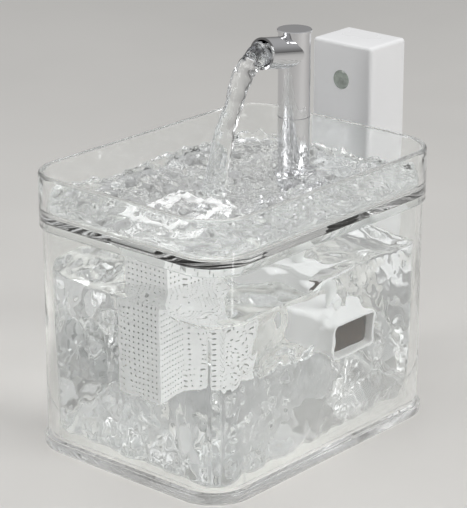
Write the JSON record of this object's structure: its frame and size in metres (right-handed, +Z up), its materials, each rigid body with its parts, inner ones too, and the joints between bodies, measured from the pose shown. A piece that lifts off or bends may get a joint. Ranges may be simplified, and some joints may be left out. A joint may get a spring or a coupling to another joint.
{
  "type": "pet water fountain",
  "caption": "Clear tank pet water fountain: pump-fed chrome swivel faucet over a lift-off drinking tray with a perforated filter basket, and a battery tower with a presence sensor behind.",
  "frame": {"origin": "middle of the tank's flat underside, on the surface that it stands on", "axes": "+Z up; -Y is the drinking end, towards which the stream falls; +Y is the tower's end; X runs across the tank"},
  "size_m": [0.144, 0.227, 0.223],
  "materials": {
    "clear_plastic": "clear, glossy moulded plastic",
    "chrome": "polished",
    "white_plastic": "smooth satin white",
    "white_mesh": "matt white, perforated",
    "lens": "grey-green, glossy",
    "rubber_black": "matt",
    "silicone": "translucent white",
    "silicone_white": "matt white",
    "nylon": "matt natural",
    "steel": "bright",
    "motor_plastic": "matt dark grey",
    "copper": "enamelled wire",
    "magnet": "matt dark",
    "foam": "open-cell dark foam",
    "sponge": "white filter floss",
    "carbon": "black granules in a pack",
    "resin": "amber beads in a pack",
    "board": "green solder mask",
    "cell": "shrink sleeve",
    "can": "bright",
    "light": "clear light guide"
  },
  "bodies": {
    "tank": {"tank": "clear_plastic"},
    "tray": {"tray": "clear_plastic", "lower_column": "chrome", "column_gasket": "silicone", "column_nut": "nylon", "swivel_washer": "chrome", "swivel_ring": "rubber_black", "riser_pipe": "silicone", "outlet_port": "white_plastic", "pump_sleeve": "white_plastic", "pump_body": "motor_plastic", "stator_coil": "copper", "rotor_pin": "steel", "chamber_cover": "motor_plastic", "intake_foam": "foam"},
    "rotor": {"impeller": "nylon", "rotor_magnet": "magnet"},
    "head": {"faucet_head": "chrome", "head_cap": "chrome"},
    "filter": {"filter_basket": "white_mesh", "resin_pack": "resin", "carbon_pack": "carbon", "filter_sponge": "sponge"},
    "tower": {"tower_shell": "white_plastic", "tower_cover": "white_plastic", "sensor_lens": "lens", "sensor_can": "can", "circuit_board": "board", "battery_cells": "cell", "battery_cradle": "motor_plastic", "switch": "motor_plastic", "charge_socket": "steel", "light_pipe": "light", "cover_screws": "steel", "tower_feet": "rubber_black"},
    "button": {"mode_button": "white_plastic"},
    "flap": {"socket_flap": "silicone_white"}
  },
  "joints": [
    {"name": "tray_lift", "type": "slide", "parent": "tank", "child": "tray", "axis": [0, 0, 1], "range_m": [0, 0.13]},
    {"name": "filter_lift", "type": "slide", "parent": "tray", "child": "filter", "axis": [0, 0, 1], "range_m": [0, 0.11]},
    {"name": "head_swivel", "type": "hinge", "parent": "tray", "child": "head", "pos_m": [0, 0.05, 0.18], "axis": [0, 0, 1], "range_deg": [-90, 90]},
    {"name": "rotor_spin", "type": "hinge", "parent": "tray", "child": "rotor", "pos_m": [0, 0.05, 0.046], "axis": [1, 0, 0], "continuous": true},
    {"name": "tower_lift", "type": "slide", "parent": "tank", "child": "tower", "axis": [0, 0, 1], "range_m": [0, 0.1]},
    {"name": "button_press", "type": "slide", "parent": "tower", "child": "button", "axis": [0, -1, 0], "range_m": [0, 0.0008], "stiffness_N_per_m": 400, "springref_m": -0.001},
    {"name": "flap_open", "type": "hinge", "parent": "tower", "child": "flap", "pos_m": [-0.004, 0.1296, 0.1166], "axis": [1, 0, 0], "range_deg": [0, 110]}
  ]
}
